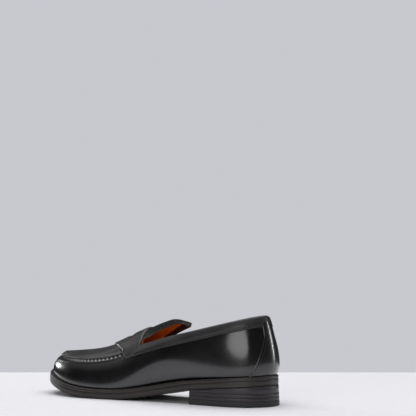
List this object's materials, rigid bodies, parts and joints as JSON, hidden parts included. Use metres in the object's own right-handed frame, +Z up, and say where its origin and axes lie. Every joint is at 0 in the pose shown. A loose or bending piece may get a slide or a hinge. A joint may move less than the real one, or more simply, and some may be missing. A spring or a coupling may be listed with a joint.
{
  "type": "penny loafer",
  "caption": "Left men's penny loafer, welted: glossy black moccasin upper with slotted strap, flexing tongue, tan lining and stacked heel.",
  "frame": {"origin": "centre of the bounding box at ground level, under the shoe", "axes": "+X towards the toe, +Y towards the outer (lateral) side of this left shoe, +Z up"},
  "size_m": [0.297, 0.1014, 0.0895],
  "materials": {
    "black_calf": "polished gloss",
    "tan_lining": "matte",
    "interlining": "woven",
    "stiffener_board": "matte",
    "insole_leather": "matte",
    "rib_canvas": "woven",
    "cork": "granular",
    "shank_steel": "blued",
    "sole_leather": "edge dressed, satin",
    "lift_leather": "edge dressed, satin",
    "top_piece_rubber": "moulded",
    "nail_steel": "bright",
    "pin_brass": "bright"
  },
  "bodies": {
    "shoe": {"vamp": "black_calf", "backstay": "black_calf", "apron": "black_calf", "penny_strap": "black_calf", "collar_band": "black_calf", "vamp_lining": "tan_lining", "quarter_lining_outer": "tan_lining", "quarter_lining_inner": "tan_lining", "heel_grip_lining": "tan_lining", "sock": "tan_lining", "toe_puff": "stiffener_board", "heel_stiffener": "stiffener_board", "vamp_interlining": "interlining", "collar_tape": "interlining", "insole": "insole_leather", "insole_rib": "rib_canvas", "cork_filler": "cork", "shank": "shank_steel", "welt": "sole_leather", "heel_rand": "sole_leather", "outsole": "sole_leather", "heel_lift_1": "lift_leather", "heel_lift_2": "lift_leather", "heel_wedge_lift": "lift_leather", "heel_top_piece": "top_piece_rubber", "heel_nails": "nail_steel", "top_piece_pins": "pin_brass"},
    "tongue": {"tongue": "black_calf", "tongue_lining": "tan_lining", "tongue_binding": "black_calf"}
  },
  "joints": [
    {"name": "tongue_flex", "type": "hinge", "parent": "shoe", "child": "tongue", "pos_m": [0.0074, 0.00036, 0.0739], "axis": [0, 1, 0], "range_deg": [-6, 25], "stiffness_Nm_per_rad": 0.06}
  ]
}
